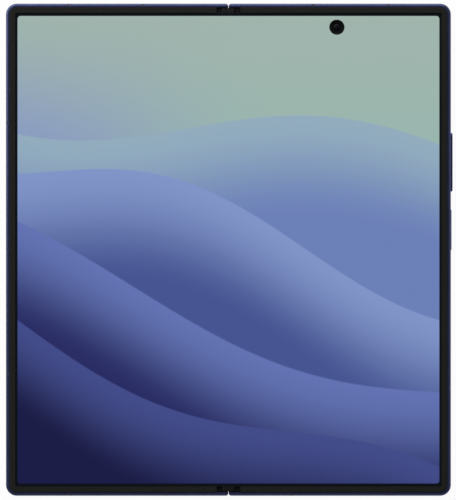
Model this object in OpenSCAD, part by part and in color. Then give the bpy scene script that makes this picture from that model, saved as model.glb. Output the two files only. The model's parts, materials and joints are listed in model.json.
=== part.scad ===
// Foldable phone that opens like a book, shown lying open with its folding screen up.
// X runs across both halves, Y along the hinge and Z up out of the screen. The origin is
// midway between the halves, in the plane of their backs. Right-half shapes are drawn at
// positive X, and the left half mirrors them. All sizes are millimetres.

/* [Body] */
// Width of the open phone over both halves, without its keys
open_w = 143.2; // [138:0.1:150]
// Height of the phone
body_h = 158.4; // [152:0.1:166]
// Thickness of a half, from its back to the top of the screen rim
half_t = 4.2; // [4.1:0.05:4.8]
// Radius of the four outer corners, seen from above
corner_r = 3.5; // [3.2:0.1:6]
// Rounding of the frame's outer edges
edge_r = 0.7; // [0.3:0.05:1]
// Thickness of the frame's rails, seen from above
rail_w = 2.6; // [2.2:0.1:3]
// Width of painted frame that shows round the screen rim
rim_w = 1.2; // [1:0.05:1.4]
// Drop from the top of the screen rim to the frame's top edge
rim_drop = 0.4; // [0.2:0.05:0.6]
// Gap between the two halves along the fold
seam_gap = 0.12; // [0.08:0.01:0.2]
// Rounding of the halves' corners beside the fold, seen from above
seam_r = 0.9; // [0.4:0.05:1.1]
// Width of the plastic antenna bands in the frame
band_w = 1; // [0.6:0.1:1.6]
// Depth of the antenna bands into the frame
band_depth = 0.9; // [0.5:0.05:1]

/* [Screen] */
// Distance from the phone's edge to the inner edge of the screen rim
bezel_reach = 3.05; // [2.7:0.05:3.15]
// Thickness of the rim's lip over the screen
bezel_lip = 0.25; // [0.15:0.05:0.35]
// Drop from the top of the screen rim to the screen's surface
film_drop = 0.3; // [0.26:0.02:0.4]
// Thickness of the film that folds
film_t = 0.3; // [0.2:0.05:0.35]
// Thickness of the stiff panel under the film
panel_t = 0.4; // [0.35:0.05:0.45]
// Thickness of the frame's middle plate
plate_t = 0.4; // [0.3:0.05:0.6]
// Width of the screen strip that bends
fold_w = 9; // [8.8:0.1:9.6]
// Distance of the inner camera from the phone's right side
inner_cam_side = 36.7; // [30:0.1:42]
// Distance of the inner camera from the phone's top
inner_cam_top = 7.6; // [7.2:0.1:12]
// Diameter of the inner camera's hole in the screen
inner_cam_d = 4.95; // [4:0.05:5.4]

/* [Hinge] */
// Distance between the two fold axes
axis_gap = 2.5; // [2.3:0.05:2.7]
// Depth of the fold axes below the top of the screen rim
axis_drop = 1; // [0.95:0.05:1.2]
// Radius of the hinge cover's rounded sides about the fold axes
cover_r = 2.5; // [2.4:0.05:2.6]
// Thickness of the hinge cover
cover_t = 0.45; // [0.35:0.05:0.5]
// Height of the hinge cover's edges below the fold axes
cover_edge = 1.15; // [1:0.05:1.3]
// Running gap between the hinge and the halves
hinge_gap = 0.15; // [0.1:0.01:0.25]
// Inner radius of the rotators' curved rails
rotator_r = 1.15; // [1.1:0.01:1.2]
// Thickness of the rotators' curved rails
rotator_t = 0.5; // [0.4:0.05:0.5]
// Width of a rotator along the hinge
rotator_w = 2.8; // [2:0.1:3.4]
// Running gap round the rotators and the gears
run_gap = 0.05; // [0.03:0.01:0.08]
// Distance of the outer rotator brackets from the phone's ends
bracket_end = 13.2; // [11:0.1:20]
// Length of a rotator bracket along the hinge
bracket_l = 9.6; // [9.2:0.1:10.4]
// Distance of the two gear trains from the middle of the hinge
gear_y = 34; // [26:1:44]
// Teeth on each synchronising gear
gear_teeth = 10; // [8:2:12]
// Pitch diameter of the synchronising gears
gear_d = 1.2; // [1.1:0.02:1.2]
// Width of the gears along the hinge
gear_w = 2.4; // [1.6:0.1:3]
// Diameter of the gears' shafts
shaft_d = 0.54; // [0.44:0.02:0.56]
// Depth of the gear centres below the fold axes
gear_drop = 1; // [0.95:0.01:1.05]
// Length of a synchronising arm from its shaft to its tip
arm_l = 7.8; // [7:0.1:9]
// Thickness of a synchronising arm
arm_t = 0.4; // [0.3:0.05:0.45]
// Width of an arm where it slides in its guide
arm_w = 6; // [4:0.1:7]
// Thickness of the wing plates under the fold
wing_t = 0.18; // [0.12:0.02:0.2]

/* [Keys] */
// Distance of the volume key's middle from the phone's top
volume_top = 51; // [49.4:0.1:54]
// Length of the volume key
volume_l = 18.9; // [16:0.1:20]
// Height of the volume key above the frame
volume_proud = 0.6; // [0.4:0.05:0.7]
// Distance between the middles of the two keys
key_pitch = 21.8; // [19:0.1:26]
// Length of the power key
power_l = 13.3; // [12:0.1:16]
// Height of the power key above the frame
power_proud = 0.25; // [0.2:0.05:0.5]
// Width of the keys across the frame
key_w = 1.9; // [1.6:0.1:2]
// Rounding of the keys' outer edges
key_r = 0.3; // [0.1:0.05:0.4]
// Clearance round the keys and the card tray
key_gap = 0.1; // [0.06:0.01:0.12]
// Travel of a key's end when it is pressed
key_travel = 0.25; // [0.15:0.01:0.26]

/* [Cover side] */
// Thickness of the cover glass and the rear glass
glass_t = 0.5; // [0.4:0.05:0.55]
// Distance from the phone's edge to the glasses
glass_inset = 1; // [0.95:0.05:1.4]
// Diameter of the cover camera's window
cover_cam_d = 3.6; // [3:0.1:4.4]
// Distance of the cover camera from the phone's top
cover_cam_top = 8.2; // [7.2:0.1:11]

/* [Rear cameras] */
// Width of the camera island
island_w = 18; // [16.5:0.1:19]
// Length of the camera island
island_l = 53; // [52:0.5:55]
// Distance of the island's centre line from the phone's side
island_side = 12.6; // [12.2:0.1:15]
// Distance of the island's end from the phone's top
island_top = 6.2; // [5:0.1:9]
// Height of the island above the rear glass
island_rise = 1.5; // [1:0.1:1.8]
// Spacing of the three lenses
lens_pitch = 16.5; // [16:0.1:17]
// Outer diameter of a lens ring
ring_d = 14.6; // [13.5:0.1:15]
// Height of a lens ring above the island
ring_rise = 0.9; // [0.6:0.05:1.1]
// Diameter of a lens window
lens_d = 11; // [10:0.1:11.4]
// Diameter of a camera barrel
barrel_d = 9; // [8:0.1:9.4]
// Diameter of the rear cameras' front lenses
front_lens_d = 5.2; // [3:0.1:6.4]
// Diameter of the flash window
flash_d = 3.4; // [2.6:0.1:4]
// Distance of the flash from the island's centre line
flash_out = 14; // [12:0.1:16]

/* [Ports] */
// Distance of the charging port from the phone's right side
usb_side = 36.6; // [35:0.1:38]
// Width of the charging port's opening
usb_w = 8.34; // [8.3:0.02:8.4]
// Height of the charging port's opening
usb_h = 2.5; // [2.4:0.02:2.5]
// Thickness of the charging socket's shell
usb_wall = 0.1; // [0.08:0.01:0.1]
// Depth of the charging socket
usb_l = 7.4; // [6.8:0.1:8]
// Length of a speaker slot
slot_l = 3; // [2:0.1:3.6]
// Height of a speaker slot
slot_h = 0.9; // [0.6:0.05:1.2]
// Diameter of a microphone hole
mic_d = 0.7; // [0.5:0.05:1]
// Distance of the card tray's middle from the phone's top
tray_top = 21.2; // [19:0.1:26]
// Length of the card tray's face
tray_l = 13.6; // [13:0.1:14.4]
// Width of the card tray's face across the frame
tray_face = 1.7; // [1.4:0.1:1.8]
// Depth of the card tray into the phone
tray_depth = 20; // [18:0.5:22]

/* [Inside] */
// Thickness of the batteries
battery_t = 1.7; // [1.4:0.05:1.8]
// Thickness of the circuit boards
board_t = 0.6; // [0.4:0.05:0.8]
// Height of the shields on the boards
shield_t = 1; // [0.8:0.05:1.2]
// Diameter of the wireless charging coil
coil_d = 46; // [40:1:50]
// Thickness of the charging coil
coil_t = 0.3; // [0.2:0.02:0.35]
// Thickness of the flexible cable that crosses the hinge
flex_t = 0.12; // [0.08:0.02:0.2]
// Diameter of the screw heads
screw_d = 1.5; // [1.2:0.1:1.6]

/* [Hidden] */

half_w = open_w / 2;
seam = seam_gap / 2;
axis_x = axis_gap / 2;
axis_z = half_t - axis_drop;
film_z1 = half_t - film_drop;
film_z0 = film_z1 - film_t;
plate_z1 = film_z0 - panel_t;
plate_z0 = plate_z1 - plate_t;
frame_top = half_t - rim_drop;
fit_gap = 0.05;                          // between pieces that are fixed beside each other
bay_y = body_h / 2 - rim_w;              // the hinge bay's end walls
spine_y = bay_y - hinge_gap;             // the hinge's own ends
lip_t = axis_z - cover_r - hinge_gap;    // the halves' metal backs under the hinge
bay_x = axis_x + cover_r + hinge_gap;    // the hinge bay's side walls
wall_x = bay_x + 1;                      // where the space for the electronics starts
cover_z1 = axis_z - cover_edge;
inner_r = cover_r - cover_t;             // the hinge cover's inner radius
floor_z = axis_z - inner_r;              // the hinge cover's inner floor
bezel_x = axis_x + cover_r + 0.05;       // where the screen rim ends beside the hinge
bezel_wall = rim_w + fit_gap;            // the screen rim's outer face
bezel_step = bezel_wall + 1;             // the screen rim's wall inside
cap_y = body_h / 2 - bezel_reach;        // inner edge of the hinge's end caps
rail_top = plate_z1;
pin_z = plate_z1 + 0.12;                 // pivots of the wing plates
pin_x = fold_w / 2 + 0.1;
pin_r = 0.16;
wing_x0 = 0.25;
wing_notch = bay_x + 0.2;
gear_m = gear_d / gear_teeth;
gear_z = axis_z - gear_drop;
arm_x = 1.5 * gear_d;                    // the arms' shafts
idler_x = gear_d / 2;                    // the idlers' shafts
arm_z0 = cover_z1 + 0.1;
arm_z1 = arm_z0 + arm_t;
arm_drop = 0.15;                         // how far an arm sinks in its half as it slides
rotator_z0 = axis_z - 0.85;
rotator_z1 = plate_z0;
foot_z0 = plate_z0 - 0.5;                // rotator feet under the middle plate
foot_l = 4.6;
bracket_y = body_h / 2 - bracket_end;
rotator_ys = [-bracket_y, 0, bracket_y];
gear_ys = [-gear_y, gear_y];
ear_t = 0.8;
washer_gap = 1.4;
train_l = gear_w + 2 * (2 * ear_t + washer_gap + 0.2);   // a gear bracket's length
inner_cam_x = half_w - inner_cam_side;
inner_cam_y = body_h / 2 - inner_cam_top;
cover_cam_x = (half_w + wall_x) / 2;
cover_cam_y = body_h / 2 - cover_cam_top;
volume_y = body_h / 2 - volume_top;
power_y = volume_y - key_pitch;
island_x = half_w - island_side;
island_y = body_h / 2 - island_top - island_l / 2;
flash_x = island_x - flash_out;
usb_x = half_w - usb_side;
tray_y = body_h / 2 - tray_top;
band_top = [27.4, half_w - 20.1];
band_bottom = [20.2, half_w - 20.6];
band_side = [body_h / 2 - 38.4, 39.4 - body_h / 2];
lens_ys = [island_y - lens_pitch, island_y, island_y + lens_pitch];
camera_w = island_w - 6;                 // width of the rear cameras' modules
inner_cam_box = 6.2;                     // width of the inner camera's module
usb_z = glass_t + usb_wall + usb_h / 2;
edge_z = frame_top / 2;                  // middle of the frame's side faces
slot_pitch = slot_l + 0.8;
bottom_slot_xs = [for (n = [2, 1, 0]) half_w - 9.4 - n * slot_pitch];
top_slot_xs = [14.5, 14.5 + slot_pitch];
mic_x = half_w - 25.6;
key_pocket = 1.1;                        // wall left outside a key's pocket
key_flange = key_pocket + key_travel + 0.1;
key_lip = 0.15;                          // a key's flange past its opening
flange_t = 0.3;
flex_y0 = 14;                            // the flexible cable's place along the hinge
flex_y1 = 22;
screw_in = 0.65;                         // hinge screws from their brackets' ends
head_t = 0.35;                           // hinge screw heads
round_fn = 64;

paint = [0.16, 0.19, 0.34];
black = [0.12, 0.12, 0.12];
steel = [0.62, 0.62, 0.64];
screen = [0.42, 0.5, 0.68];
pack = [0.3, 0.32, 0.36];
board = [0.1, 0.3, 0.2];

// ---- shapes that several pieces share ----

module box(x0, x1, y0, y1, z0, z1) {
    translate([x0, y0, z0]) cube([x1 - x0, y1 - y0, z1 - z0]);
}

// Extrudes a drawing of X and Z along the hinge
module along_y(y0, y1) {
    translate([0, y1, 0]) rotate([90, 0, 0]) linear_extrude(y1 - y0) children();
}

// Extrudes a drawing of Y and Z across the phone
module along_x(x0, x1) {
    translate([x0, 0, 0]) rotate([90, 0, 90]) linear_extrude(x1 - x0) children();
}

module layer(z0, z1) {
    translate([0, 0, z0]) linear_extrude(z1 - z0) children();
}

module left_side() {
    mirror([1, 0, 0]) children();
}

module both_ends() {
    children();
    mirror([0, 1, 0]) children();
}

// A slot with round ends, its length along X
module pill(l, w) {
    square([l - w, w], center = true);
    for (s = [-1, 1]) translate([s * (l - w) / 2, 0]) circle(d = w, $fn = round_fn);
}

// A plate with round corners, centred
module plate(l, w, r) {
    square([l - 2 * r, w], center = true);
    square([l, w - 2 * r], center = true);
    for (x = [-1, 1], y = [-1, 1]) translate([x * (l / 2 - r), y * (w / 2 - r)])
        circle(r, $fn = round_fn);
}

// A half's outline, drawn in from its edge, from x0 to its outer side
module half_outline(inset, x0) {
    r = max(corner_r - inset, 0.2);
    w = half_w - inset;
    h = body_h / 2 - inset;
    translate([x0, -h]) square([w - r - x0, 2 * h]);
    translate([x0, r - h]) square([w - x0, 2 * (h - r)]);
    for (s = [-1, 1]) translate([w - r, s * (h - r)]) circle(r, $fn = round_fn);
}

// Sweeps a section round three sides of a half. Its X runs in from the half's edge.
module round_the_half(x0) {
    run = body_h / 2 - corner_r;
    both_ends() {
        translate([0, -body_h / 2, 0]) along_x(x0, half_w - corner_r) children();
        translate([half_w - corner_r, -run, 0]) rotate([0, 0, -90])
            rotate_extrude(angle = 90, $fn = round_fn)
                translate([corner_r, 0]) mirror([1, 0]) children();
    }
    translate([half_w, 0, 0]) rotate([0, 0, 90]) along_x(-run, run) children();
}

// The hinge's section: flat below, with a round side about each fold axis
module spine_section(r, top) {
    intersection() {
        union() {
            translate([-axis_x, axis_z - r]) square([axis_gap, 2 * r]);
            for (s = [-1, 1]) translate([s * axis_x, axis_z]) circle(r, $fn = round_fn);
        }
        translate([-2 * cover_r, 0]) square([4 * cover_r, top]);
    }
}

// ---- the frame ----

module rail_section() {
    difference() {
        union() {
            translate([edge_r, 0]) square([rail_w - edge_r, frame_top]);
            translate([0, edge_r]) square([rail_w, frame_top - 2 * edge_r]);
            for (z = [edge_r, frame_top - edge_r]) translate([edge_r, z])
                circle(edge_r, $fn = round_fn);
        }
        translate([glass_inset, -1]) square([rail_w, 1 + glass_t + fit_gap]);
        translate([rim_w, rail_top]) square([rail_w, half_t]);
    }
}

module antenna_slabs() {
    for (x = band_top)
        box(x - band_w / 2, x + band_w / 2, body_h / 2 - band_depth, body_h / 2 + 1, -1, half_t);
    for (x = band_bottom)
        box(x - band_w / 2, x + band_w / 2, -body_h / 2 - 1, band_depth - body_h / 2, -1, half_t);
    for (y = band_side)
        box(half_w - band_depth, half_w + 1, y - band_w / 2, y + band_w / 2, -1, half_t);
}

// What both halves' frames have: rails, middle plate, and the walls of the hinge bay
module frame_blank() {
    wall_y = body_h / 2 - rim_w + 0.2;
    difference() {
        union() {
            round_the_half(seam) rail_section();
            layer(plate_z0, plate_z1) half_outline(rail_w - 0.4, pin_x - 0.1);
            box(seam, wall_x, glass_inset - body_h / 2 - 0.2, body_h / 2 - glass_inset + 0.2,
                0, lip_t);
            box(bay_x, wall_x, -wall_y, wall_y, 0, plate_z0);
        }
        // hinge bay
        box(-1, bay_x, -bay_y, bay_y, lip_t, half_t + 1);
        // room for the wing plates as they tilt
        box(bay_x - 1, pin_x - 0.1, -bay_y, bay_y, plate_z0, half_t);
        // seats of the wing plates' pins
        translate([pin_x, 0, pin_z]) rotate([90, 0, 0])
            cylinder(r = pin_r + fit_gap, h = 2 * bay_y, center = true, $fn = round_fn);
        // the rails' ends roll past each other above the fold axes
        along_y(-body_h, body_h) difference() {
            translate([-1, axis_z]) square([axis_x + 1, half_t]);
            translate([axis_x, axis_z]) circle(axis_x - seam, $fn = round_fn);
        }
        both_ends() layer(-1, half_t + 1) difference() {
            translate([-1, body_h / 2 - seam_r]) square([seam + seam_r + 1, seam_r + 1]);
            translate([seam + seam_r, body_h / 2 - seam_r]) circle(seam_r, $fn = round_fn);
        }
        // passages of the rotators and the synchronising arms
        for (y = rotator_ys)
            box(bay_x - 1, wall_x + 1, y - bracket_l / 2, y + bracket_l / 2,
                rotator_z0 - 0.15, plate_z0);
        for (y = gear_ys)
            box(bay_x - 1, arm_x + arm_l + 0.3, y - arm_w / 2 - 0.2, y + arm_w / 2 + 0.2,
                arm_z0 - arm_drop - fit_gap, plate_z1 + 1);
        // passage of the flexible cable
        box(bay_x - 1, wall_x + 1, -flex_y1 - 0.3, -flex_y0 + 0.3, cover_z1, plate_z0);
        antenna_slabs();
    }
}

module key_opening(y, l) {
    translate([0, y, edge_z]) {
        along_x(half_w - rail_w, half_w + 1) pill(l + 2 * key_gap, key_w + 2 * key_gap);
        box(half_w - rail_w - 1, half_w - key_pocket, -l / 2 - key_lip - 0.4, l / 2 + key_lip + 0.4,
            -key_w / 2 - key_lip - fit_gap, key_w / 2 + key_lip + fit_gap);
    }
}

module edge_hole(x, s, d) {
    translate([x, s * (body_h / 2 - rail_w / 2), edge_z]) rotate([90, 0, 0])
        cylinder(d = d, h = 2 * rail_w, center = true, $fn = 32);
}

module right_frame() {
    color(paint) difference() {
        frame_blank();
        key_opening(volume_y, volume_l);
        key_opening(power_y, power_l);
        // charging port
        translate([usb_x, 0, usb_z]) along_y(-body_h / 2 - 1, rail_w + fit_gap - body_h / 2)
            pill(usb_w, usb_h);
        box(usb_x - usb_w / 2 - usb_wall - fit_gap, usb_x + usb_w / 2 + usb_wall + fit_gap,
            rail_w - body_h / 2, rail_w + usb_l + 3 * fit_gap - body_h / 2, plate_z0 - 1, half_t);
        // speaker slots
        for (x = bottom_slot_xs) translate([x, 0, edge_z])
            along_y(-body_h / 2 - 1, rail_w + 1 - body_h / 2) pill(slot_l, slot_h);
        for (x = top_slot_xs) translate([x, 0, edge_z])
            along_y(body_h / 2 - rail_w - 1, body_h / 2 + 1) pill(slot_l, slot_h);
        edge_hole(mic_x, -1, mic_d);
        edge_hole(mic_x, 1, mic_d);
        // inner camera
        translate([inner_cam_x, inner_cam_y, plate_z0 - 1])
            cylinder(d = inner_cam_d + 0.6, h = plate_t + 2, $fn = round_fn);
    }
}

module left_frame() {
    color(paint) left_side() difference() {
        frame_blank();
        // card tray
        translate([0, tray_y, edge_z]) {
            along_x(half_w - rail_w - 1, half_w + 1)
                pill(tray_l + 2 * key_gap, tray_face + 2 * key_gap);
            // ejector's pin hole
            translate([half_w - rail_w - 1, tray_l / 2 + 2.2, 0]) rotate([0, 90, 0])
                cylinder(d = 0.8, h = rail_w + 2, $fn = 32);
        }
    }
}

module antenna_bands() {
    intersection() {
        round_the_half(seam) rail_section();
        antenna_slabs();
    }
}

module left_antenna_bands() { color(pack) left_side() antenna_bands(); }
module right_antenna_bands() { color(pack) antenna_bands(); }

// ---- the screen ----

module bezel_section() {
    r = 0.25;
    translate([bezel_wall, plate_z1]) square([bezel_step - bezel_wall, half_t - r - plate_z1]);
    translate([bezel_wall + r, half_t - bezel_lip]) square([bezel_reach - bezel_wall - r, bezel_lip]);
    translate([bezel_wall + r, half_t - r]) intersection() {
        circle(r, $fn = round_fn);
        translate([-r, 0]) square(r);
    }
    translate([bezel_wall + r, half_t - 2 * r]) square([bezel_step - bezel_wall - r, 2 * r]);
}

module bezel() {
    color(black) round_the_half(bezel_x) bezel_section();
}

module right_bezel() { bezel(); }
module left_bezel() { left_side() bezel(); }

module screen_panel() {
    layer(plate_z1, film_z0) half_outline(bezel_step + fit_gap, fold_w / 2 + 0.45);
    layer(film_z0, film_z1) half_outline(bezel_step + fit_gap, fold_w / 2);
}

module left_screen_panel() { color(screen) left_side() screen_panel(); }

module right_screen_panel() {
    color(screen) difference() {
        screen_panel();
        translate([inner_cam_x, inner_cam_y, plate_z0])
            cylinder(d = inner_cam_d, h = half_t, $fn = round_fn);
    }
}

module fold_screen_strip() {
    color(screen) box(-fold_w / 2, fold_w / 2, -cap_y + fit_gap, cap_y - fit_gap, film_z0, film_z1);
}

// A camera barrel that opens at z = 0 and faces down. Stepped light traps narrow from its
// mouth to a domed front lens.
module camera_barrel(d, h, mouth_d, front_d) {
    traps = 3;
    depth = h - 0.25;
    step = (mouth_d - front_d) / traps;
    bulge = 0.15 * front_d;
    dome_r = (front_d * front_d / 4 + bulge * bulge) / (2 * bulge);
    difference() {
        cylinder(d = d, h = h, $fn = round_fn);
        for (n = [0:traps - 1]) translate([0, 0, -1])
            cylinder(d = mouth_d - n * step, h = 1 + (n + 1) * depth / traps, $fn = round_fn);
    }
    // front lens
    translate([0, 0, depth - bulge]) intersection() {
        translate([0, 0, dome_r]) sphere(dome_r, $fn = round_fn);
        cylinder(d = front_d, h = bulge + 0.1, $fn = round_fn);
    }
}

module inner_camera() {
    barrel_h = 1.1;
    color(black) translate([inner_cam_x, inner_cam_y, 0]) {
        translate([0, 0, film_z1 - 0.1]) mirror([0, 0, 1])
            camera_barrel(inner_cam_d - 0.2, barrel_h, inner_cam_d - 0.7, 2.6);
        layer(plate_z0 - 1.2, film_z1 - barrel_h) circle(d = inner_cam_d - 0.6, $fn = round_fn);
        layer(plate_z0 - 1.6, plate_z0 - 0.1) plate(inner_cam_box, inner_cam_box, 0.5);
    }
}

// ---- the hinge ----

module hinge_cover() {
    end_t = 0.5;
    color(paint) {
        along_y(-spine_y, spine_y) difference() {
            spine_section(cover_r, cover_z1);
            spine_section(inner_r, half_t);
        }
        both_ends() along_y(spine_y - end_t, spine_y) spine_section(cover_r, cover_z1);
    }
}

// Caps that close the hinge's ends: a plug in the cover, low shoulders that the halves roll
// over, and a ridge level with the film
module hinge_end_caps() {
    end_t = 0.5;
    ridge_w = 4.2;
    ridge_top = film_z1 + 0.05;
    ridge_h = ridge_top - cover_z1 - 2 * fit_gap;
    shoulder_z = axis_z - 0.15;
    color(black) both_ends() {
        along_y(cap_y, spine_y - end_t - fit_gap) spine_section(inner_r - 0.03, shoulder_z);
        along_y(cap_y, spine_y - hinge_gap) {
            difference() {
                spine_section(cover_r - 0.05, shoulder_z);
                translate([-2 * cover_r, 0]) square([4 * cover_r, cover_z1 + fit_gap]);
            }
            translate([0, ridge_top - ridge_h / 2]) plate(ridge_w, ridge_h, 0.5);
        }
    }
}

// Drawing of a rotator about the right fold axis: curved rail and arm
module rotator_section(grow) {
    from = -140;
    to = -10;
    r0 = rotator_r - grow;
    r1 = rotator_r + rotator_t + grow;
    translate([axis_x, axis_z]) difference() {
        circle(r1, $fn = round_fn);
        circle(r0, $fn = round_fn);
        // what lies outside the rail's arc
        polygon([[0, 0], 4 * [cos(to), sin(to)], [4, 4], [-4, 4], [-4, -2],
            4 * [cos(from), sin(from)]]);
    }
}

module rotator_arm() {
    translate([axis_x + 1.1, rotator_z0])
        square([wall_x + 0.4 - axis_x - 1.1, rotator_z1 - rotator_z0]);
}

module rotators() {
    color(steel) for (y = rotator_ys) {
        along_y(y + 0.6, y + 0.6 + rotator_w) {
            rotator_section(0);
            rotator_arm();
        }
        difference() {
            box(wall_x, wall_x + foot_l, y - 2.6, y + 0.6 + rotator_w, foot_z0, plate_z0);
            for (dy = [-1.3, 2.2]) translate([wall_x + foot_l / 2 + 0.4, y + dy, foot_z0 - 1])
                cylinder(d = 0.9, h = 2, $fn = 32);
        }
    }
}

module right_rotators() { rotators(); }
module left_rotators() { rotate([0, 0, 180]) rotators(); }

// Slots of one side's rotators in their brackets
module rotator_slots() {
    for (y = rotator_ys) along_y(y + 0.6 - 0.1, y + 0.6 + rotator_w + 0.1) {
        translate([axis_x, axis_z]) difference() {
            circle(rotator_r + rotator_t + run_gap, $fn = round_fn);
            circle(rotator_r - run_gap, $fn = round_fn);
        }
        translate([axis_x + 1.05, rotator_z0 - 0.07]) square([cover_r, cover_r]);
    }
}

module rotator_brackets() {
    color(steel) difference() {
        for (y = rotator_ys) along_y(y - bracket_l / 2, y + bracket_l / 2)
            spine_section(inner_r - 0.03, axis_z - 0.1);
        rotator_slots();
        rotate([0, 0, 180]) rotator_slots();
        for (y = rotator_ys, s = [-1, 1])
            translate([0, y + s * (bracket_l / 2 - screw_in), 0]) {
                cylinder(d = 0.66, h = half_t, $fn = 32);
                translate([0, 0, axis_z - 0.1 - head_t]) cylinder(d = 1.06, h = 1, $fn = 32);
            }
    }
}

// Ears of a gear bracket, outer first, as distances from its middle
ear_ys = [gear_w / 2 + 0.2, gear_w / 2 + 0.2 + ear_t + washer_gap];

module gear_brackets() {
    color(steel) for (y = gear_ys) translate([0, y, 0]) {
        difference() {
            for (e = ear_ys) both_ends() along_y(e, e + ear_t)
                spine_section(inner_r - 0.03, axis_z - 0.1);
            for (x = [-arm_x, -idler_x, idler_x, arm_x]) translate([x, 0, gear_z])
                rotate([90, 0, 0]) cylinder(d = shaft_d + 0.02, h = train_l + 2, center = true,
                    $fn = 32);
        }
        box(-1.2, 1.2, -train_l / 2, train_l / 2, floor_z, floor_z + 0.25);
    }
}

module gear_shafts() {
    color(steel) for (y = gear_ys, x = [-arm_x, -idler_x, idler_x, arm_x])
        translate([x, y, gear_z]) rotate([90, 0, 0])
            cylinder(d = shaft_d, h = train_l, center = true, $fn = 32);
}

module friction_washers() {
    washer_t = 0.3;
    color(steel) for (y = gear_ys, x = [-arm_x, arm_x]) translate([x, y, gear_z]) both_ends()
        for (n = [0:2]) translate([0, ear_ys[0] + ear_t + 0.12 + n * (washer_t + 0.1), 0])
            rotate([-90, 0, 0]) difference() {
                cylinder(d = gear_d - 0.1, h = washer_t, $fn = 32);
                translate([0, 0, -1]) cylinder(d = shaft_d + 0.04, h = 2, $fn = 32);
            }
}

// One gear's outline with straight-sided teeth; phase is in tooth steps
module gear_outline(phase) {
    step = 360 / gear_teeth;
    root = gear_d / 2 - 1.25 * gear_m;
    tip = gear_d / 2 + 0.9 * gear_m;
    difference() {
        polygon([for (n = [0:gear_teeth - 1], c = [[root, -0.3], [tip, -0.1], [tip, 0.1], [root, 0.3]])
            c[0] * [cos((n + phase + c[1]) * step), sin((n + phase + c[1]) * step)]]);
        circle(d = shaft_d + 2 * run_gap, $fn = 32);
    }
}

module idler_gears(x, phase) {
    color(steel) for (y = gear_ys) translate([x, 0, gear_z])
        along_y(y - gear_w / 2, y + gear_w / 2) gear_outline(phase);
}

module right_idler_gears() { idler_gears(idler_x, 0.5); }
module left_idler_gears() { idler_gears(-idler_x, 0); }

module arms(phase) {
    color(steel) for (y = gear_ys) {
        translate([arm_x, 0, gear_z]) along_y(y - gear_w / 2, y + gear_w / 2) gear_outline(phase);
        difference() {
            union() {
                box(arm_x + 0.4, arm_x + arm_l, y - gear_w / 2, y + gear_w / 2, arm_z0, arm_z1);
                box(arm_x + 2.4, arm_x + arm_l, y - arm_w / 2, y + arm_w / 2, arm_z0, arm_z1);
            }
            translate([arm_x + arm_l - 2, y, arm_z0 - 1]) cylinder(d = 1.6, h = 3, $fn = 32);
        }
    }
}

module right_arms() { arms(0); }
module left_arms() { left_side() arms(0.5); }

// Guides that the arms slide in, under the middle plate
module arm_guides() {
    side_w = 1;
    x0 = wall_x + 0.3;
    x1 = arm_x + arm_l + 0.3;
    low = arm_z0 - arm_drop - fit_gap;
    color(steel) for (y = gear_ys) difference() {
        box(x0, x1, y - arm_w / 2 - side_w - 0.2, y + arm_w / 2 + side_w + 0.2, low - 0.4, plate_z0);
        box(x0 - 1, x1 + 1, y - arm_w / 2 - 0.2, y + arm_w / 2 + 0.2, low, plate_z0 + 1);
    }
}

module right_arm_guides() { arm_guides(); }
module left_arm_guides() { left_side() arm_guides(); }

// Plates that carry the bending strip and tilt down as the phone closes
module wing() {
    z0 = pin_z - wing_t / 2 + 0.05;
    y1 = cap_y - 0.3;
    color(steel) difference() {
        union() {
            box(wing_x0, pin_x, -y1, y1, z0, z0 + wing_t);
            translate([pin_x, 0, pin_z]) rotate([90, 0, 0])
                cylinder(r = pin_r, h = 2 * y1, center = true, $fn = round_fn);
        }
        for (y = rotator_ys)
            box(-1, wing_notch, y - bracket_l / 2 - 0.4, y + bracket_l / 2 + 0.4, 0, half_t);
        for (y = gear_ys)
            box(-1, wing_notch, y - train_l / 2 - 0.4, y + train_l / 2 + 0.4, 0, half_t);
    }
}

module right_wing() { wing(); }
module left_wing() { left_side() wing(); }

module hinge_flex_cable() {
    reach = wall_x + 4;
    z0 = floor_z + 0.35;
    z1 = cover_z1 + 0.25;
    rise = inner_r * 0.72 + axis_x;
    color("orange") along_y(-flex_y1, -flex_y0) {
        translate([-rise + 0.6, z0]) square([2 * rise - 1.2, flex_t]);
        for (s = [-1, 1]) polygon([[s * (rise - 0.6), z0], [s * rise, z1], [s * reach, z1],
            [s * reach, z1 + flex_t], [s * (rise - flex_t), z1 + flex_t],
            [s * (rise - 0.6 - flex_t), z0 + flex_t]]);
    }
}

module hinge_screws() {
    top = axis_z - 0.1;
    color(steel) for (y = rotator_ys, s = [-1, 1])
        translate([0, y + s * (bracket_l / 2 - screw_in), 0]) {
            layer(floor_z, top) circle(d = 0.6, $fn = 32);
            layer(top - head_t, top) circle(d = 1, $fn = 32);
        }
}

module half_screws() {
    color(steel) for (y = rotator_ys, dy = [-1.3, 2.2])
        translate([wall_x + foot_l / 2 + 0.4, y + dy, foot_z0 - 0.3]) {
            cylinder(d = screw_d, h = 0.3, $fn = 32);
            cylinder(d = 0.86, h = foot_l / 6, $fn = 32);
        }
}

module right_screws() { half_screws(); }
module left_screws() { rotate([0, 0, 180]) half_screws(); }

// ---- the backs ----

module back_glass() {
    difference() {
        layer(0, glass_t) half_outline(glass_inset + fit_gap, wall_x + fit_gap);
        children();
    }
}

module cover_glass() {
    color(black) left_side() back_glass() translate([cover_cam_x, cover_cam_y, -1])
        cylinder(d = cover_cam_d + 2 * fit_gap, h = 2, $fn = round_fn);
}

module cover_display() {
    color(screen) left_side() difference() {
        layer(glass_t, glass_t + 0.4) half_outline(rail_w + 0.4, wall_x + 0.5);
        translate([cover_cam_x, cover_cam_y, -1]) cylinder(d = cover_cam_d + 1, h = 4, $fn = round_fn);
    }
}

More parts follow.
